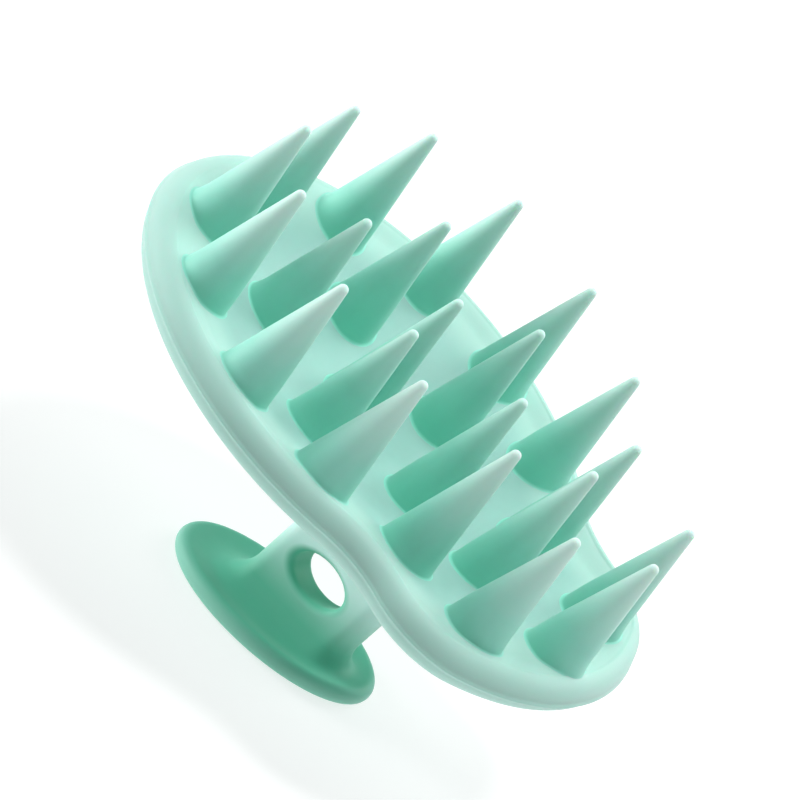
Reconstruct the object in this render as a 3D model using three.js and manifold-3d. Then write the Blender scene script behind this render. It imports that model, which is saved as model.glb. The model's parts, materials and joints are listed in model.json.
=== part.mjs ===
// Scalp massager brush: a one-piece soft rubber moulding, in millimetres, +Z up.
// It stands on its oval disc with the teeth up. The Y axis runs from the big lobe (-Y) to the
// small lobe (+Y), and the plane X = 0 mirrors the brush. The head (pad, teeth and neck) leans
// about X on the level disc, and is drawn in a frame of its own whose origin is the lean's pivot,
// in the middle of the disc, with its z axis along the teeth.
import * as THREE from "three";
import { mergeVertices } from "three/addons/utils/BufferGeometryUtils.js";
import Module from "manifold-3d";

const wasm = await Module();
wasm.setup();

// ---- Driving dimensions ----
const LEAN = THREE.MathUtils.degToRad(12.5);  // the head leans down towards the small lobe
const DISC_Y = 1.388;                         // puts the origin under the middle of the whole brush

// Pad outline: a big circle and two corner circles, with a long arc over the end of the small lobe
// and a hollow arc at each side of the waist.
const LOBE = { y: -14.8, r: 37.9 };
const CORNER = { x: 13.8, y: 18.5, r: 14.1 };
const END_Y = 36.4;
const WAIST_R = 14.6;
const OUTLINE_POINTS = 72;

// Pad section. Heights are from the lean's pivot.
const PAD_CENTRE_Y = -9;      // the dish gets deeper towards this point
const EDGE_Z = 32.6;          // top face at the edge, without the raised rim
const DISH = 6.7;             // how much deeper the middle is
const PAD_THICK = 4.4;
const RIM_R = 2.85;           // radius of the rounded rim
const RIM_RISE = 0.6;         // rim top above the dished face
const RIM_WIDTH = 6.5;        // how far in from the outline the raised rim fades out
const RIM_STEPS = 3;          // steps in each quarter of the rim's round edge
const FADE_INSET = 4.2;       // ring part of the way down the rim's fade
const DISH_RINGS = [0.88, 0.72, 0.52, 0.3, 0.12];  // from the rim's foot to the middle

// Teeth
const TOOTH_R = 4.45;         // at the pad's face
const TIP_R = 0.75;
const OUTER_TIP_Z = 51.3;
const INNER_TIP_Z = 48.5;
const RING_R = 30;            // nine teeth along the big lobe's edge
const RING_STEP = 30;         // degrees
const INNER_R = 16.1;         // five teeth round the middle one
const INNER_STEP = 72;
const WAIST_TOOTH = { x: 14.9, y: 11.2 };
const BRIDGE_TOOTH_Y = 15;
const CORNER_TOOTH = { x: 14.3, y: 24.8 };
const END_TOOTH_Y = 29.6;
const TOOTH_SIDES = 18;
const TOOTH_STEPS = 3;        // steps in the foot's cap, and in the tip's round

// Each tooth's foot is a round cap about its flexing point, in a matching hollow in the pad.
const FLEX_HEIGHT = 3;        // flexing point above the pad's face
const GAP = 0.3;

// Neck and disc. The neck is a flat web, wide along Y, and its hole is level.
const DISC = { halfX: 12.3, halfY: 17.6, top: 2.6, shoulder: 2.5, shoulderDrop: 0.25 };
const DISC_EDGE = 1.3;        // half of the edge's thickness, and the pivot's height
const NECK = { y: 1.9, halfWidth: 9.3, halfThick: 2.7, flare: 4.2, topFlare: 2.6, flareHeight: 5 };
const NECK_CORNER = 0.72;     // 1 gives an oval section, and less a squarer one
const HOLE = { y: 1.6, z: 9.5, halfWidth: 4.8, halfHeight: 2.9 };

// ---- Helpers ----
const MINT = { pad: 0x9edcca, neck: 0x98d6c3, disc: 0x5fb596, tooth: 0x86c9b5 };

function rubber(color) {
  return new THREE.MeshStandardMaterial({ color, roughness: 0.62, metalness: 0 });
}

function named(name, geometry, color) {
  const mesh = new THREE.Mesh(geometry, rubber(color));
  mesh.name = name;
  return mesh;
}

function toSolid(geometry) {
  const bare = geometry.clone();
  bare.deleteAttribute("normal");
  bare.deleteAttribute("uv");
  const merged = mergeVertices(bare, 1e-4);
  return new wasm.Manifold(new wasm.Mesh({
    numProp: 3,
    vertProperties: new Float32Array(merged.attributes.position.array),
    triVerts: new Uint32Array(merged.index.array),
  }));
}

function toGeometry(solid) {
  const mesh = solid.getMesh();
  const geometry = new THREE.BufferGeometry();
  geometry.setAttribute("position", new THREE.BufferAttribute(mesh.vertProperties, 3));
  geometry.setIndex(new THREE.BufferAttribute(mesh.triVerts, 1));
  geometry.computeVertexNormals();
  return geometry;
}

// A closed skin through rings of equal length, from a bottom ring to a top ring, with the two ends
// closed by a fan to a middle point.
function loft(rings, bottomMiddle, topMiddle) {
  const count = rings[0].length;
  const points = rings.flat().concat([bottomMiddle, topMiddle]);
  const index = [];
  for (let i = 0; i < count; i++) {
    const j = (i + 1) % count;
    index.push(points.length - 2, j, i);
    const last = (rings.length - 1) * count;
    index.push(points.length - 1, last + i, last + j);
    for (let k = 0; k + 1 < rings.length; k++) {
      const a = k * count;
      const b = a + count;
      index.push(a + i, a + j, b + j, a + i, b + j, b + i);
    }
  }
  const geometry = new THREE.BufferGeometry().setFromPoints(points);
  geometry.setIndex(index);
  geometry.computeVertexNormals();
  return geometry;
}

const smooth = (t) => {
  const u = THREE.MathUtils.clamp(t, 0, 1);
  return u * u * (3 - 2 * u);
};

// ---- Pad outline ----
function waistCentre() {
  // the point at LOBE.r + WAIST_R from the lobe's centre and CORNER.r + WAIST_R from the corner's
  const a = LOBE.r + WAIST_R;
  const b = CORNER.r + WAIST_R;
  const dx = CORNER.x;
  const dy = CORNER.y - LOBE.y;
  const d = Math.hypot(dx, dy);
  const along = (a * a - b * b + d * d) / (2 * d);
  const off = Math.sqrt(a * a - along * along);
  return { x: (along * dx + off * dy) / d, y: LOBE.y + (along * dy - off * dx) / d };
}

function outlinePath() {
  const waist = waistCentre();
  const angle = (from, to) => Math.atan2(to.y - from.y, to.x - from.x);
  const lobeCentre = { x: 0, y: LOBE.y };
  // the end arc touches both corner circles and the line y = END_Y
  const rise = END_Y - CORNER.y;
  const endR = (CORNER.x ** 2 + rise ** 2 - CORNER.r ** 2) / (2 * (rise - CORNER.r));
  const endCentre = { x: 0, y: END_Y - endR };
  const lobeTo = angle(lobeCentre, waist);
  const cornerFrom = angle(CORNER, waist);
  const cornerTo = angle(endCentre, CORNER);
  const path = new THREE.Path();
  path.absarc(0, LOBE.y, LOBE.r, -Math.PI / 2, lobeTo, false);
  path.absarc(waist.x, waist.y, WAIST_R, lobeTo + Math.PI, cornerFrom + Math.PI, true);
  path.absarc(CORNER.x, CORNER.y, CORNER.r, cornerFrom, cornerTo, false);
  path.absarc(0, endCentre.y, endR, cornerTo, Math.PI - cornerTo, false);
  path.absarc(-CORNER.x, CORNER.y, CORNER.r, Math.PI - cornerTo, Math.PI - cornerFrom, false);
  path.absarc(-waist.x, waist.y, WAIST_R, -cornerFrom, -lobeTo, true);
  path.absarc(0, LOBE.y, LOBE.r, Math.PI - lobeTo, 1.5 * Math.PI, false);
  return path;
}

const outline = outlinePath().getSpacedPoints(OUTLINE_POINTS).slice(0, OUTLINE_POINTS);
const inward = outline.map((_, i) => {
  const before = outline[(i + OUTLINE_POINTS - 1) % OUTLINE_POINTS];
  const after = outline[(i + 1) % OUTLINE_POINTS];
  const run = after.clone().sub(before).normalize();
  return new THREE.Vector2(-run.y, run.x);
});
const padCentre = new THREE.Vector2(0, PAD_CENTRE_Y);

// Share of the way from the pad's centre to its outline, along the ray through (x, y).
function reach(x, y) {
  const point = new THREE.Vector2(x, y).sub(padCentre);
  const turn = point.angle();
  for (let i = 0; i < OUTLINE_POINTS; i++) {
    const a = outline[i].clone().sub(padCentre);
    const b = outline[(i + 1) % OUTLINE_POINTS].clone().sub(padCentre);
    const before = THREE.MathUtils.euclideanModulo(turn - a.angle(), 2 * Math.PI);
    const span = THREE.MathUtils.euclideanModulo(b.angle() - a.angle(), 2 * Math.PI);
    if (before <= span) return point.length() / a.lerp(b, before / span).length();
  }
  return 0;
}

const dishZ = (share) => EDGE_Z - DISH * (1 - share * share) ** 2;
const faceZ = (x, y) => dishZ(reach(x, y));

// ---- Pad ----
function padRing(inset, scale, height) {
  return outline.map((edge, i) => {
    const point = edge.clone().addScaledVector(inward[i], inset).sub(padCentre).multiplyScalar(scale);
    const share = point.length() / edge.distanceTo(padCentre);
    point.add(padCentre);
    return new THREE.Vector3(point.x, point.y, height(share));
  });
}

function padGeometry() {
  const rimMiddle = EDGE_Z + RIM_RISE - RIM_R;
  const rimFade = (inset) => 1 - smooth((inset - RIM_R) / (RIM_WIDTH - RIM_R));
  const top = (inset) => (share) => dishZ(share) + RIM_RISE * rimFade(inset);
  const underRise = EDGE_Z - PAD_THICK - (rimMiddle - RIM_R);
  const under = (inset) => (share) => dishZ(share) - PAD_THICK - underRise * rimFade(inset);
  const rings = [];
  for (const scale of DISH_RINGS.toReversed()) rings.push(padRing(RIM_WIDTH, scale, under(RIM_WIDTH)));
  for (const inset of [RIM_WIDTH, FADE_INSET]) rings.push(padRing(inset, 1, under(inset)));
  for (let k = -RIM_STEPS; k <= RIM_STEPS; k++) {
    const turn = (k / RIM_STEPS) * (Math.PI / 2);
    const inset = RIM_R * (1 - Math.cos(turn));
    rings.push(padRing(inset, 1, () => rimMiddle + RIM_R * Math.sin(turn)));
  }
  for (const inset of [FADE_INSET, RIM_WIDTH]) rings.push(padRing(inset, 1, top(inset)));
  for (const scale of DISH_RINGS) rings.push(padRing(RIM_WIDTH, scale, top(RIM_WIDTH)));
  const middle = (z) => new THREE.Vector3(0, PAD_CENTRE_Y, z);
  return loft(rings, middle(dishZ(0) - PAD_THICK), middle(dishZ(0)));
}

// ---- Teeth ----
function toothPlaces() {
  const polar = (r, degrees) => {
    const turn = THREE.MathUtils.degToRad(degrees);
    return { x: r * Math.cos(turn), y: LOBE.y + r * Math.sin(turn) };
  };
  const places = [];
  const place = (x, y, tip = OUTER_TIP_Z) => places.push({ x, y, tip });
  const pair = ({ x, y }) => [-1, 1].forEach((side) => place(side * x, y));
  for (let k = -4; k <= 4; k++) places.push({ ...polar(RING_R, -90 + k * RING_STEP), tip: OUTER_TIP_Z });
  for (let k = 0; k < 5; k++) places.push({ ...polar(INNER_R, 90 + k * INNER_STEP), tip: INNER_TIP_Z });
  place(0, LOBE.y, INNER_TIP_Z);
  pair(WAIST_TOOTH);
  place(0, BRIDGE_TOOTH_Y);
  pair(CORNER_TOOTH);
  place(0, END_TOOTH_Y);
  return places;
}

// A tooth's own origin is its flexing point.
function toothGeometry(height) {
  const capR = Math.hypot(TOOTH_R, FLEX_HEIGHT);
  const capEdge = Math.atan2(TOOTH_R, FLEX_HEIGHT);
  const profile = [];
  for (let k = 0; k <= TOOTH_STEPS; k++) {
    const turn = (capEdge * k) / TOOTH_STEPS;
    profile.push(new THREE.Vector2(capR * Math.sin(turn), -capR * Math.cos(turn)));
  }
  // the cone's side touches the tip's sphere
  const tipZ = height - FLEX_HEIGHT - TIP_R;
  const run = tipZ + FLEX_HEIGHT;
  const side = Math.atan2(TOOTH_R, run) - Math.asin(TIP_R / Math.hypot(TOOTH_R, run));
  for (let k = 0; k <= TOOTH_STEPS; k++) {
    const turn = side + (Math.PI / 2 - side) * (k / TOOTH_STEPS);
    profile.push(new THREE.Vector2(TIP_R * Math.cos(turn), tipZ + TIP_R * Math.sin(turn)));
  }
  profile[0].x = 0;
  profile.at(-1).x = 0;
  return new THREE.LatheGeometry(profile, TOOTH_SIDES).rotateX(Math.PI / 2);
}

function socketSolid(place) {
  const radius = Math.hypot(TOOTH_R, FLEX_HEIGHT) + GAP;
  const ball = new THREE.SphereGeometry(radius, TOOTH_SIDES, 12).rotateX(Math.PI / 2);
  ball.translate(place.x, place.y, faceZ(place.x, place.y) + FLEX_HEIGHT);
  return toSolid(ball);
}

// ---- Neck ----
// Rounded-rectangle rings, flared at both ends. The lowest ring lies in the level plane over the
// disc, the next ones turn into the head's own planes, and the top one follows the pad's underside.
function neckGeometry() {
  const discFace = (y) => (DISC.top - DISC_EDGE + GAP) / Math.cos(LEAN) + y * Math.tan(LEAN);
  const padUnder = (x, y) => faceZ(x, y) - PAD_THICK - GAP;
  const bottom = discFace(NECK.y);
  const top = padUnder(0, NECK.y);
  const flareShare = NECK.flareHeight / (top - bottom);
  const sides = 32;
  const ring = (share) => Array.from({ length: sides }, (_, i) => {
    const turn = (2 * Math.PI * i) / sides;
    const low = Math.max(0, 1 - share / flareShare);
    const high = Math.max(0, 1 - (1 - share) / flareShare);
    const lowGrow = NECK.flare * (1 - Math.sqrt(1 - low ** 2));
    const grow = lowGrow + NECK.topFlare * (1 - Math.sqrt(1 - high ** 2));
    const across = (half, part) => (half + grow) * Math.sign(part) * Math.abs(part) ** NECK_CORNER;
    const x = across(NECK.halfThick, Math.cos(turn));
    const y = NECK.y + across(NECK.halfWidth, Math.sin(turn));
    const straight = THREE.MathUtils.lerp(bottom, top, share);
    const lowTurned = THREE.MathUtils.lerp(discFace(y), straight, smooth(share / flareShare));
    const z = THREE.MathUtils.lerp(lowTurned, padUnder(x, y), smooth((share - 1 + flareShare) / flareShare));
    return new THREE.Vector3(x, y, z);
  });
  const lowFlare = [0, 0.12, 0.3, 0.6, 1].map((part) => part * flareShare);
  const web = [0.45, 0.65];
  const topFlare = [1, 0.5, 0.2, 0].map((part) => 1 - part * flareShare);
  const shares = [...lowFlare, ...web, ...topFlare];
  const middle = (z) => new THREE.Vector3(0, NECK.y, z);
  const solid = toSolid(loft(shares.map(ring), middle(bottom), middle(top)));
  const oval = new THREE.Shape().absellipse(0, 0, HOLE.halfWidth, HOLE.halfHeight, 0, 2 * Math.PI);
  const barLength = 40;
  const bar = new THREE.ExtrudeGeometry(oval, { depth: barLength, bevelEnabled: false, curveSegments: 28 });
  bar.translate(0, 0, -barLength / 2).rotateX(Math.PI / 2).rotateZ(Math.PI / 2);
  bar.rotateX(LEAN).translate(0, HOLE.y, HOLE.z);
  return toGeometry(solid.subtract(toSolid(bar)));
}

// ---- Disc ----
function discGeometry() {
  const sides = 48;
  const oval = (inset, z) => Array.from({ length: sides }, (_, i) => {
    const turn = (2 * Math.PI * i) / sides;
    return new THREE.Vector3((DISC.halfX - inset) * Math.cos(turn), (DISC.halfY - inset) * Math.sin(turn), z);
  });
  const edgeSteps = 6;
  const rings = Array.from({ length: edgeSteps + 1 }, (_, k) => {
    const turn = -Math.PI / 2 + (Math.PI * k) / edgeSteps;
    const edgeTop = DISC.top - DISC.shoulderDrop;
    return oval(DISC_EDGE * (1 - Math.cos(turn)), (edgeTop / 2) * (1 + Math.sin(turn)));
  });
  rings.push(oval(DISC.shoulder + DISC_EDGE, DISC.top));
  return loft(rings, new THREE.Vector3(0, 0, 0), new THREE.Vector3(0, 0, DISC.top));
}

// ---- Assembly ----
const head = new THREE.Group();
head.position.set(0, DISC_Y, DISC_EDGE);
head.rotation.x = -LEAN;

const places = toothPlaces();
let pad = toSolid(padGeometry());
for (const place of places) pad = pad.subtract(socketSolid(place));
head.add(named("pad", toGeometry(pad), MINT.pad));
head.add(named("neck", neckGeometry(), MINT.neck));

places.forEach((place, i) => {
  const foot = faceZ(place.x, place.y);
  const name = `tooth_${String(i + 1).padStart(2, "0")}`;
  const tooth = named(name, toothGeometry(place.tip - foot), MINT.tooth);
  tooth.position.set(place.x, place.y, foot + FLEX_HEIGHT);
  head.add(tooth);
});

const disc = named("disc", discGeometry(), MINT.disc);
disc.position.y = DISC_Y;

const brush = new THREE.Group();
brush.add(head, disc);

export default brush;
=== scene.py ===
# Scalp massager brush: the finished look of the imported model, in metres, +Z up.
# The brush is one matte rubber moulding. Its skins are the pad with its rounded rim and parting line,
# the handle (neck, hole and disc), and one skin per tooth, whose root flares
# into the pad.
import json
import math
import bpy
import numpy as np
from mathutils import Matrix, Vector


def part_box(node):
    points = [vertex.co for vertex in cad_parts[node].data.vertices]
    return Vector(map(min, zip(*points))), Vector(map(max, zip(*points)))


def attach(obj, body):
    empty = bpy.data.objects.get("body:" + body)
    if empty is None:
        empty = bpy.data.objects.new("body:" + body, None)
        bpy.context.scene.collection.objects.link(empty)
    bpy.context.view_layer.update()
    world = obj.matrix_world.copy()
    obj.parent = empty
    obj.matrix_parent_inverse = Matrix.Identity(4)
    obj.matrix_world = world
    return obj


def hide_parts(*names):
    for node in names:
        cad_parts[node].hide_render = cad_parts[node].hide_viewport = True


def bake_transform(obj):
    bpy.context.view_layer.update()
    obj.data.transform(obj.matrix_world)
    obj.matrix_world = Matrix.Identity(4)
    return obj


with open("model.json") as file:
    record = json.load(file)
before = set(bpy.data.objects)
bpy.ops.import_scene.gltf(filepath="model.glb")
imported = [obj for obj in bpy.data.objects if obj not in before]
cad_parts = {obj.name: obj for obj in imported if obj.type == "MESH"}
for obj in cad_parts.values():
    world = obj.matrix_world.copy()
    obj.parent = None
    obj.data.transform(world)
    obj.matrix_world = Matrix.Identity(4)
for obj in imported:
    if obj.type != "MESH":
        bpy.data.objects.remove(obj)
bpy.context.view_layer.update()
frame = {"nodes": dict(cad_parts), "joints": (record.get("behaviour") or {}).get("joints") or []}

MM = 0.001
BASE = "handle_and_pad"

# ---- Driving dimensions, as in the CAD model: millimetres, in the head's own frame ----
LEAN = math.radians(12.5)       # the head leans on the level disc
LOBE_Y, LOBE_R = -14.8, 37.9
CORNER_X, CORNER_Y, CORNER_R = 13.8, 18.5, 14.1
END_Y = 36.4
WAIST_R = 14.6
PAD_CENTRE = np.array([0.0, -9.0])
EDGE_Z, DISH, PAD_THICK = 32.6, 6.7, 4.4
RIM_R, RIM_RISE, RIM_WIDTH = 2.85, 0.6, 6.5
TOOTH_R, TIP_R = 4.45, 0.75
FLEX_HEIGHT = 3.0               # a tooth's joint above the pad's face
DISC_X, DISC_Y, DISC_TOP = 12.3, 17.6, 2.6
DISC_EDGE = 1.3
NECK_Y, NECK_WIDTH, NECK_THICK = 1.9, 9.3, 2.7
HOLE_Y, HOLE_Z = 1.6, 9.5

# ---- Finish that only the looks have ----
ROOT_FILLET = 0.4
THROAT_WIDTH, THROAT_HEIGHT = 4.8, 2.85
HOLE_ROUND = 0.9
FOOT_FLARE, TOP_FLARE = 4.6, 3.0
DISC_DISH = 0.9
BEAD, BEAD_WIDTH = 0.26, 0.24   # the parting line round the rim
TONE_START = 0.80               # share of the way out from which the pad gets paler with painted light on the rim
FADE_START, FADE_LENGTH = 0.9, 4.5  # where the disc's dish starts, in from its edge, and its slope
WEB_ROUND = NECK_THICK - 0.2    # radius of the web's ends
LAYER_THICK, LAYER_SINK = 1.5, 0.04  # the neck's top inside the pad, and how far in it starts
SETTLE = 3.5                    # height over which a tooth's rings go from the pad's slope to level
FOOT_DEPTH = 2.3

# ---- How finely the skins are divided ----
ARC_SPACING = 0.8
RIM_RINGS, FACE_RINGS, ROUND_RINGS = 12, 46, 57
SMALLEST_RING = 0.02            # as a share of the last ring before the dish
CELL = 0.42                     # grid step for the handle
HANDLE_LOW, HANDLE_HIGH = (-13.5, -19.5, -6.5), (13.5, 19.5, 28.0)
SMOOTH_TURNS, PULL_TURNS, PROBE = 10, 3, 0.01
TOOTH_POINTS = 64

disc_low, disc_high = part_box("disc")
PIVOT_Y = (disc_low[1] + disc_high[1]) / 2
HEAD = Matrix.Translation((0, PIVOT_Y, DISC_EDGE * MM)) @ Matrix.Rotation(-LEAN, 4, "X")
TO_HEAD = HEAD.inverted()


def smooth(t):
    t = np.clip(t, 0, 1)
    return t * t * (3 - 2 * t)


# ---- Meshes ----
def make_object(name, points, faces, material, matrix=HEAD):
    """A smooth closed mesh from points in millimetres and lists of corner numbers."""
    mesh = bpy.data.meshes.new(name)
    mesh.from_pydata([matrix @ (Vector(p) * MM) for p in points], [], faces)
    mesh.validate()
    mesh.shade_smooth()
    mesh.materials.append(material)
    obj = bpy.data.objects.new(name, mesh)
    bpy.context.scene.collection.objects.link(obj)
    return obj


def loft(name, rings, low, high, material):
    """A closed skin through rings of equal length, from bottom to top, with a fan at each end."""
    size, count = len(rings[0]), len(rings)
    faces = []
    for k in range(count - 1):
        for i in range(size):
            j = (i + 1) % size
            faces.append((k * size + i, k * size + j, (k + 1) * size + j, (k + 1) * size + i))
    last = (count - 1) * size
    for i in range(size):
        j = (i + 1) % size
        faces.append((count * size, j, i))
        faces.append((count * size + 1, last + i, last + j))
    return make_object(name, np.vstack([*rings, low, high]), faces, material)


# ---- Pad outline and faces ----
def arc(cx, cy, r, start, end):
    count = max(3, round(abs(end - start) * r / ARC_SPACING))
    turns = np.linspace(start, end, count, endpoint=False)
    return np.column_stack([cx + r * np.cos(turns), cy + r * np.sin(turns)])


def pad_outline():
    """The right half's arcs, from the big lobe's end to the small lobe's end, and their mirror."""
    a, b = LOBE_R + WAIST_R, CORNER_R + WAIST_R
    dx, dy = CORNER_X, CORNER_Y - LOBE_Y
    d = math.hypot(dx, dy)
    along = (a * a - b * b + d * d) / (2 * d)
    off = math.sqrt(a * a - along * along)
    waist_x, waist_y = (along * dx + off * dy) / d, LOBE_Y + (along * dy - off * dx) / d
    rise = END_Y - CORNER_Y
    end_r = (CORNER_X**2 + rise**2 - CORNER_R**2) / (2 * (rise - CORNER_R))
    lobe_to = math.atan2(waist_y - LOBE_Y, waist_x)
    corner_from = math.atan2(waist_y - CORNER_Y, waist_x - CORNER_X)
    corner_to = math.atan2(CORNER_Y - (END_Y - end_r), CORNER_X)
    right = np.vstack([
        arc(0, LOBE_Y, LOBE_R, -math.pi / 2, lobe_to),
        arc(waist_x, waist_y, WAIST_R, lobe_to + math.pi, corner_from + math.pi),
        arc(CORNER_X, CORNER_Y, CORNER_R, corner_from, corner_to),
        arc(0, END_Y - end_r, end_r, corner_to, math.pi / 2),
    ])
    return np.vstack([right, [[0, END_Y]], right[1:][::-1] * [-1, 1]])


OUTLINE = pad_outline()
RUN = np.roll(OUTLINE, -1, 0) - np.roll(OUTLINE, 1, 0)
INWARD = np.column_stack([-RUN[:, 1], RUN[:, 0]]) / np.linalg.norm(RUN, axis=1)[:, None]
EDGE = OUTLINE - PAD_CENTRE
EDGE_TURN = np.arctan2(EDGE[:, 1], EDGE[:, 0])
EDGE_ORDER = np.argsort(EDGE_TURN)


def dish_height(flat):
    """The dished face, deepest at the pad's centre; a point's share is measured along its own ray."""
    offset = flat - PAD_CENTRE
    turn = np.arctan2(offset[:, 1], offset[:, 0])
    reach = np.linalg.norm(EDGE, axis=1)[EDGE_ORDER]
    away = np.interp(turn, EDGE_TURN[EDGE_ORDER], reach, period=2 * math.pi)
    share = np.minimum(np.linalg.norm(offset, axis=1) / away, 1)
    return EDGE_Z - DISH * (1 - share**2) ** 2


def rim_inset(flat):
    """How far in from the pad's outline each point is."""
    inset = np.full(len(flat), np.inf)
    for a, b in zip(OUTLINE, np.roll(OUTLINE, -1, 0)):
        run = b - a
        t = np.clip((flat - a) @ run / (run @ run), 0, 1)
        inset = np.minimum(inset, np.linalg.norm(flat - a - t[:, None] * run, axis=1))
    return inset


def rim_share(inset):
    """1 at the rim's top and 0 where the raised rim has faded out."""
    return 1 - smooth((inset - RIM_R) / (RIM_WIDTH - RIM_R))


def pad_face(flat):
    """The tooth side's height, which falls away over the rim's round edge."""
    inset = rim_inset(flat)
    round_off = RIM_R - np.sqrt(RIM_R**2 - np.clip(RIM_R - inset, 0, RIM_R) ** 2)
    return dish_height(flat) + RIM_RISE * rim_share(inset) - round_off


def pad_under(flat):
    rim_under = EDGE_Z + RIM_RISE - 2 * RIM_R
    return dish_height(flat) - PAD_THICK - (EDGE_Z - PAD_THICK - rim_under) * rim_share(rim_inset(flat))


def pad_skin(material):
    insets = np.linspace(RIM_R, RIM_WIDTH, RIM_RINGS)
    scales = np.linspace(1, SMALLEST_RING, FACE_RINGS)[1:]

    def face_rings(height):
        rings = [OUTLINE + INWARD * inset for inset in insets]
        rings += [PAD_CENTRE + (rings[-1] - PAD_CENTRE) * scale for scale in scales]
        return [np.column_stack([ring, height(ring)]) for ring in rings]

    rim_middle = EDGE_Z + RIM_RISE - RIM_R
    rim = []
    for turn in np.linspace(-math.pi / 2, math.pi / 2, ROUND_RINGS)[1:-1]:
        bead = BEAD * math.exp(-((RIM_R * turn / BEAD_WIDTH) ** 2))
        ring = OUTLINE + INWARD * (RIM_R * (1 - math.cos(turn)) - bead)
        rim.append(np.column_stack([ring, np.full(len(ring), rim_middle + RIM_R * math.sin(turn))]))
    rings = face_rings(pad_under)[::-1] + rim + face_rings(pad_face)
    centre = PAD_CENTRE[None, :]
    low = [[*PAD_CENTRE, pad_under(centre)[0]]]
    high = [[*PAD_CENTRE, pad_face(centre)[0]]]
    pad = loft("pad_skin", rings, low, high, material)
    # how near each point is to the rim, for the material's painted light on the rim
    face_tones = [1] * len(insets) + list(smooth((scales - TONE_START) / (1 - TONE_START)))
    tones = np.repeat(face_tones[::-1] + [1] * len(rim) + face_tones, len(OUTLINE))
    tone = pad.data.attributes.new("rim_painted_light", "FLOAT", "POINT")
    tone.data.foreach_set("value", np.append(tones, [0, 0]))
    return pad


# ---- Handle: the surface where a distance function is zero ----
def join(a, b, radius):
    """Union of two distances, with a fillet."""
    near = np.hypot(np.maximum(radius - a, 0), np.maximum(radius - b, 0))
    return np.maximum(radius, np.minimum(a, b)) - near


def cut(a, b, radius):
    """Intersection of two distances, with a rounded edge."""
    near = np.hypot(np.maximum(radius + a, 0), np.maximum(radius + b, 0))
    return np.minimum(-radius, np.maximum(a, b)) + near


def oval_distance(u, v, half_u, half_v):
    size = np.hypot(u / half_u, v / half_v) + 1e-9
    return (size - 1) * size / (np.hypot(u / half_u**2, v / half_v**2) + 1e-9)


def handle_distance(points):
    """Distance from the handle's surface; points are in the head's frame."""
    x, y, z = points.T
    # the disc, in its own level frame with its underside at 0
    level_y = y * math.cos(LEAN) + z * math.sin(LEAN)
    level_z = z * math.cos(LEAN) - y * math.sin(LEAN) + DISC_EDGE
    rim = oval_distance(x, level_y, DISC_X, DISC_Y)
    dish = DISC_DISH * smooth((-rim - FADE_START) / FADE_LENGTH)
    lifted = level_z + dish * np.clip(level_z / DISC_TOP, 0, 1)
    outside = np.hypot(np.maximum(rim + DISC_EDGE, 0), lifted - DISC_EDGE) - DISC_EDGE
    disc = np.where(rim + DISC_EDGE > 0, outside, np.abs(lifted - DISC_EDGE) - DISC_EDGE)
    # the neck's web, with rounded ends
    qx = np.abs(x) - NECK_THICK + WEB_ROUND
    qy = np.abs(y - NECK_Y) - NECK_WIDTH + WEB_ROUND
    web = np.hypot(np.maximum(qx, 0), np.maximum(qy, 0)) + np.minimum(np.maximum(qx, qy), 0) - WEB_ROUND
    handle = np.maximum(join(web, disc, FOOT_FLARE), -level_z)
    # a layer just inside the pad's underside, which the neck's top flares into
    under = dish_height(points[:, :2]) - PAD_THICK
    layer = np.maximum(under + LAYER_SINK - z, web - TOP_FLARE - LAYER_THICK)
    handle = np.maximum(join(handle, layer, TOP_FLARE), z - under - LAYER_THICK)
    # the hole, level like the disc
    hole_y = (y - HOLE_Y) * math.cos(LEAN) + (z - HOLE_Z) * math.sin(LEAN)
    hole_z = (z - HOLE_Z) * math.cos(LEAN) - (y - HOLE_Y) * math.sin(LEAN)
    hole = oval_distance(hole_y, hole_z, THROAT_WIDTH, THROAT_HEIGHT)
    return cut(handle, -hole, HOLE_ROUND)


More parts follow.
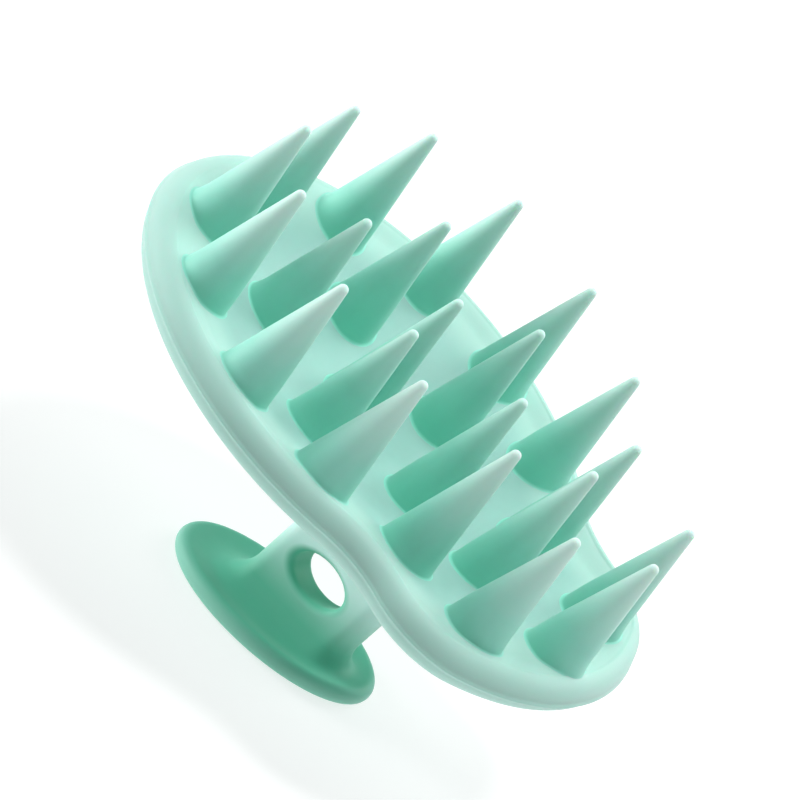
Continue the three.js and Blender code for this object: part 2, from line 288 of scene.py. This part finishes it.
def zero_surface(distance, low, high, step):
    """Closed quads where a distance function changes sign, one point to each crossed cell."""
    axes = [np.arange(a, b + step, step) for a, b in zip(low, high)]
    grid = np.stack(np.meshgrid(*axes, indexing="ij"), -1)
    inside = (distance(grid.reshape(-1, 3)) < 0).reshape(grid.shape[:3])
    corners = [inside[i:inside.shape[0] - 1 + i, j:inside.shape[1] - 1 + j, k:inside.shape[2] - 1 + k]
               for i in (0, 1) for j in (0, 1) for k in (0, 1)]
    filled = sum(corner.astype(int) for corner in corners)
    crossed = (filled > 0) & (filled < 8)
    number = np.full(crossed.shape, -1)
    number[crossed] = np.arange(crossed.sum())
    points = grid[:-1, :-1, :-1][crossed] + step / 2
    quads = []
    for axis in range(3):
        first, second = (axis + 1) % 3, (axis + 2) % 3
        before = np.take(inside, range(inside.shape[axis] - 1), axis)
        after = np.take(inside, range(1, inside.shape[axis]), axis)
        for sign in (True, False):
            at = np.argwhere((before == sign) & (after != sign))
            around = []
            for a, b in ((0, 0), (-1, 0), (-1, -1), (0, -1)):
                cell = at.copy()
                cell[:, first] += a
                cell[:, second] += b
                around.append(number[tuple(cell.T)])
            quad = np.column_stack(around)
            quads.append(quad if sign else quad[:, ::-1])
    quads = np.vstack(quads)
    starts, ends = quads.ravel(), np.roll(quads, -1, 1).ravel()
    links = np.bincount(starts, minlength=len(points)) + np.bincount(ends, minlength=len(points))
    for turn in range(SMOOTH_TURNS):
        if turn:                        # even out the mesh, then back to the surface
            total = np.zeros_like(points)
            np.add.at(total, starts, points[ends])
            np.add.at(total, ends, points[starts])
            points = points * 0.5 + total / links[:, None] * 0.5
        for _ in range(PULL_TURNS):
            value = distance(points)
            nudges = PROBE * np.eye(3)
            rises = [distance(points + nudge) - distance(points - nudge) for nudge in nudges]
            slope = np.column_stack(rises) / (2 * PROBE)
            length = np.maximum((slope**2).sum(1), 0.1)
            points = points - np.clip(value / length, -step, step)[:, None] * slope
    return points, quads


def handle_skin(material):
    points, quads = zero_surface(handle_distance, HANDLE_LOW, HANDLE_HIGH, CELL)
    return make_object("handle_skin", points, quads.tolist(), material)


# ---- Teeth ----
def tooth_profile(height):
    """Radius and height above the pad's face: hidden foot, root fillet, straight side, round tip."""
    rise = height - TIP_R
    side = math.atan2(TOOTH_R, rise) - math.asin(TIP_R / math.hypot(TOOTH_R, rise))
    fillet_turn = math.pi / 2 - side
    outer = TOOTH_R + ROOT_FILLET * math.tan(fillet_turn / 2)
    profile = [(outer * 0.5, -2.2), (outer - 0.2, -2.0), (outer + 0.45, -1.2), (outer + 0.6, -0.3)]
    profile += [(outer + 0.55, -0.04), (outer + 0.3, -0.02)]
    for turn in np.linspace(0, fillet_turn, 9):
        profile.append((outer - ROOT_FILLET * math.sin(turn), ROOT_FILLET * (1 - math.cos(turn))))
    start = np.array(profile[-1])
    end = np.array([TIP_R * math.cos(side), rise + TIP_R * math.sin(side)])
    profile += [tuple(start + (end - start) * t) for t in np.linspace(0, 1, 22)[1:]]
    for turn in np.linspace(side, math.pi / 2, 8)[1:-1]:
        profile.append((TIP_R * math.cos(turn), rise + TIP_R * math.sin(turn)))
    return profile


def tooth_skin(joint, material):
    node = frame["nodes"][joint["child"].removesuffix("_body")]
    pivot = TO_HEAD @ Vector(joint["pos_m"]) / MM
    top = max((TO_HEAD @ vertex.co).z for vertex in node.data.vertices) / MM
    foot = pivot.z - FLEX_HEIGHT
    turns = np.linspace(0, 2 * math.pi, TOOTH_POINTS, endpoint=False)
    circle = np.column_stack([np.cos(turns), np.sin(turns)])
    centre = np.array([pivot.x, pivot.y])
    rings = []
    for r, z in tooth_profile(top - foot):
        flat = centre + circle * r
        level = smooth(z / SETTLE)        # low rings follow the pad's face and higher ones are level
        rings.append(np.column_stack([flat, pad_face(flat) * (1 - level) + foot * level + z]))
    skin = loft(f"{node.name}_skin", rings, [[*centre, foot - FOOT_DEPTH]], [[*centre, top]], material)
    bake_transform(skin)
    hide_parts(node.name)


# ---- Material: matte translucent rubber, toned by region with painted light and shade, with fine grain and faint clouding ----
class Shader:
    """A material's node tree, with short calls to add and join its nodes."""

    def __init__(self, name):
        self.material = bpy.data.materials.new(name)
        self.material.use_nodes = True
        self.tree = self.material.node_tree
        self.surface = self.tree.nodes["Principled BSDF"]

    def add(self, kind, **settings):
        node = self.tree.nodes.new(kind)
        for key, value in settings.items():
            setattr(node, key, value)
        return node

    def join(self, source, target):
        self.tree.links.new(source, target)

    def noise(self, place, scale, detail):
        node = self.add("ShaderNodeTexNoise")
        node.inputs["Scale"].default_value = scale
        node.inputs["Detail"].default_value = detail
        self.join(place, node.inputs["Vector"])
        return node.outputs["Fac"]

    def spread(self, value, low, high, start=0.0, end=1.0):
        node = self.add("ShaderNodeMapRange")
        node.inputs["From Min"].default_value = low
        node.inputs["From Max"].default_value = high
        node.inputs["To Min"].default_value = start
        node.inputs["To Max"].default_value = end
        self.join(value, node.inputs["Value"])
        return node.outputs["Result"]

    def oval(self, place, middle, halves):
        """How far each point is from the middle of an oval, which is 1 at its edge. FAR drops an axis."""
        shift = self.add("ShaderNodeMapping", vector_type="TEXTURE")
        shift.inputs["Location"].default_value = middle
        shift.inputs["Scale"].default_value = halves
        self.join(place, shift.inputs["Vector"])
        length = self.add("ShaderNodeVectorMath", operation="LENGTH")
        self.join(shift.outputs["Vector"], length.inputs[0])
        return length.outputs["Value"]

    def mix(self, share, first, second):
        node = self.add("ShaderNodeMix", data_type="RGBA")
        self.join(share, node.inputs[0])
        for value, socket in ((first, node.inputs[6]), (second, node.inputs[7])):
            if isinstance(value, tuple):
                socket.default_value = (*value, 1)
            else:
                self.join(value, socket)
        return node.outputs[2]


# One rubber, toned by region: painted shade makes it deeper at the teeth's roots, on the disc and in the
# hole, and painted light makes it paler at tips, neck and edges. The tones stand in for shade, and for
# light that falls on the parts and passes through and between the thin parts.
MINT = (0.345, 0.76, 0.645)
# Painted shade at the teeth's roots, where the teeth and the pad shade each other.
ROOT_PAINTED_SHADE = (0.25, 0.73, 0.58)
# Painted shade on the disc's face, under the pad, and in the hole.
DISC_PAINTED_SHADE = (0.13, 0.53, 0.37)
PALE_DISH = (0.31, 0.565, 0.51)
# Painted light on the neck, as if lit from the floor and the side.
NECK_PAINTED_LIGHT = (0.58, 0.84, 0.78)
# Painted light on the pad's rim and round the disc's edge.
EDGE_PAINTED_LIGHT = (0.395, 0.65, 0.58)
# Painted light at the teeth's tips, which catch light from all round.
TIP_PAINTED_LIGHT = (0.68, 0.86, 0.81)
CLOUD = 0.93                    # how much darker the faint clouds are
FAR = 1e6
CLOUD_SCALE, ROUGH_SCALE, GRAIN_SCALE = 90, 160, 3200
ROUGH_LOW, ROUGH_HIGH = 0.50, 0.62
GRAIN_DEPTH = 0.00008
NECK_FROM, NECK_TO = 0.0045, 0.013      # heights between which the disc's painted shade turns into the neck's painted light
ROOT_TO_MINT = (0.030, 0.040)           # heights along the teeth: painted shade at the roots turns to mint, and mint to painted light at the tips
MINT_TO_TIP = (0.039, 0.053)
TEETH_AXIS = (0, math.sin(LEAN), math.cos(LEAN))


def clouded(shader, place, tone):
    clouds = shader.spread(shader.noise(place, CLOUD_SCALE, 3), 0.35, 0.65)
    return shader.mix(clouds, tone, tuple(CLOUD * part for part in tone))


def pad_color(shader, place):
    """One tone in the dish, which turns into the edge's tone towards the rim: painted light on the rim.
    """
    tone = shader.add("ShaderNodeAttribute", attribute_name="rim_painted_light").outputs["Fac"]
    return shader.mix(tone, clouded(shader, place, PALE_DISH), EDGE_PAINTED_LIGHT)


def handle_color(shader, place):
    """Painted shade makes it deep on the disc's face and in the hole; painted light makes it pale on the
    thin neck and round the disc's edge.
    """
    height = shader.add("ShaderNodeSeparateXYZ")
    shader.join(place, height.inputs["Vector"])
    # Painted shade on the disc below, painted light on the neck above.
    up = shader.spread(height.outputs["Z"], NECK_FROM, NECK_TO)
    color = shader.mix(up, DISC_PAINTED_SHADE, clouded(shader, place, NECK_PAINTED_LIGHT))
    # Painted shade in the hole.
    hole = HEAD @ (Vector((0, HOLE_Y, HOLE_Z)) * MM)
    from_hole = shader.oval(place, hole, (FAR, THROAT_WIDTH * MM, THROAT_HEIGHT * MM))
    color = shader.mix(shader.spread(from_hole, 1.05, 1.30), DISC_PAINTED_SHADE, color)
    # Painted light round the disc's edge, at most half strength.
    from_disc = shader.oval(place, (0, PIVOT_Y, 0), (DISC_X * MM, DISC_Y * MM, FAR))
    return shader.mix(shader.spread(from_disc, 0.90, 1.02, 0.0, 0.5), color, EDGE_PAINTED_LIGHT)


def tooth_color(shader, place):
    """Deep with painted shade at the root, mint half way up, and pale with painted light at the tip,
    measured along the teeth.
    """
    along = shader.add("ShaderNodeVectorMath", operation="DOT_PRODUCT")
    along.inputs[1].default_value = TEETH_AXIS
    shader.join(place, along.inputs[0])
    height = along.outputs["Value"]
    # Painted shade at the roots, painted light at the tips.
    color = shader.mix(shader.spread(height, *ROOT_TO_MINT), ROOT_PAINTED_SHADE, clouded(shader, place, MINT))
    return shader.mix(shader.spread(height, *MINT_TO_TIP), color, TIP_PAINTED_LIGHT)


def silicone(name, color):
    shader = Shader(name)
    place = shader.add("ShaderNodeTexCoord").outputs["Object"]
    shader.join(color(shader, place), shader.surface.inputs["Base Color"])
    rough = shader.spread(shader.noise(place, ROUGH_SCALE, 4), 0.3, 0.7, ROUGH_LOW, ROUGH_HIGH)
    shader.join(rough, shader.surface.inputs["Roughness"])
    bump = shader.add("ShaderNodeBump")
    bump.inputs["Strength"].default_value = 0.10
    bump.inputs["Distance"].default_value = GRAIN_DEPTH
    shader.join(shader.noise(place, GRAIN_SCALE, 2), bump.inputs["Height"])
    shader.join(bump.outputs["Normal"], shader.surface.inputs["Normal"])
    shader.surface.inputs["Subsurface Weight"].default_value = 0.5
    shader.surface.inputs["Subsurface Radius"].default_value = (0.45, 1.0, 0.8)
    shader.surface.inputs["Subsurface Scale"].default_value = 0.0009
    shader.surface.inputs["Specular IOR Level"].default_value = 0.25
    shader.surface.inputs["Sheen Weight"].default_value = 0.12
    shader.surface.inputs["Sheen Roughness"].default_value = 0.5
    return shader.material


pad = pad_skin(silicone("silicone_pad", pad_color))
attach(pad, BASE)
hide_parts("pad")

handle = handle_skin(silicone("silicone_handle", handle_color))
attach(handle, BASE)
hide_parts("neck", "disc")

tooth_rubber = silicone("silicone_teeth", tooth_color)
for joint in frame["joints"]:
    tooth_skin(joint, tooth_rubber)


# ---- Stage: a pale floor that glows a little, as a light table does, so that shadows stay faint ----
FLOOR_GLOW = 0.71
FLOOR_HALF = 10.0
FLOOR_Z = -0.0001               # just under the disc's flat underside, not in its plane


def floor():
    shader = Shader("floor_white")
    shader.surface.inputs["Base Color"].default_value = (0.35, 0.35, 0.35, 1)
    shader.surface.inputs["Roughness"].default_value = 0.9
    shader.surface.inputs["Emission Color"].default_value = (1, 1, 1, 1)
    shader.surface.inputs["Emission Strength"].default_value = FLOOR_GLOW
    corners = [(x * FLOOR_HALF, y * FLOOR_HALF, FLOOR_Z) for x, y in ((-1, -1), (1, -1), (1, 1), (-1, 1))]
    mesh = bpy.data.meshes.new("floor")
    mesh.from_pydata(corners, [], [(0, 1, 2, 3)])
    mesh.materials.append(shader.material)
    obj = bpy.data.objects.new("floor", mesh)
    bpy.context.scene.collection.objects.link(obj)


def soft_light(name, place, size, power):
    data = bpy.data.lights.new(name, "AREA")
    data.shape = "DISK"
    data.size = size
    data.energy = power
    obj = bpy.data.objects.new(name, data)
    obj.location = place
    middle = Vector((0, 0, 0.03))
    obj.rotation_euler = (middle - Vector(place)).to_track_quat("-Z", "Y").to_euler()
    bpy.context.scene.collection.objects.link(obj)


def sky(strength):
    world = bpy.data.worlds.new("studio")
    world.use_nodes = True
    world.node_tree.nodes["Background"].inputs["Color"].default_value = (1, 1, 1, 1)
    world.node_tree.nodes["Background"].inputs["Strength"].default_value = strength
    bpy.context.scene.world = world


floor()
soft_light("key", (-0.10, 0.10, 0.90), 0.35, 6.7)
soft_light("side", (0.24, -0.76, 0.20), 0.4, 4.8)
soft_light("back", (-0.60, 0.10, 0.40), 0.5, 2.6)
sky(0.16)


# ---- Camera: a long lens, rolled so that the teeth point up to the right ----
def camera():
    azimuth, elevation, roll = math.radians(26.1), math.radians(21.4), math.radians(35.3)
    distance = 0.5993
    aside, above = 0.00212, 0.00547
    back = Vector((math.cos(elevation) * math.cos(azimuth),
                   math.cos(elevation) * math.sin(azimuth), math.sin(elevation)))
    level = Vector((0, 0, 1)).cross(back).normalized()
    upright = back.cross(level)
    right = level * math.cos(roll) + upright * math.sin(roll)
    up = upright * math.cos(roll) - level * math.sin(roll)
    aim = Vector((0, 0, 0.030)) + right * aside + up * above
    data = bpy.data.cameras.new("camera")
    data.sensor_width = 36
    data.lens = 205.9
    obj = bpy.data.objects.new("camera", data)
    turn = Matrix((right, up, back)).transposed().to_4x4()
    obj.matrix_world = Matrix.Translation(aim + back * distance) @ turn
    bpy.context.scene.collection.objects.link(obj)
    bpy.context.scene.camera = obj


camera()
bpy.context.scene.view_settings.view_transform = "Standard"
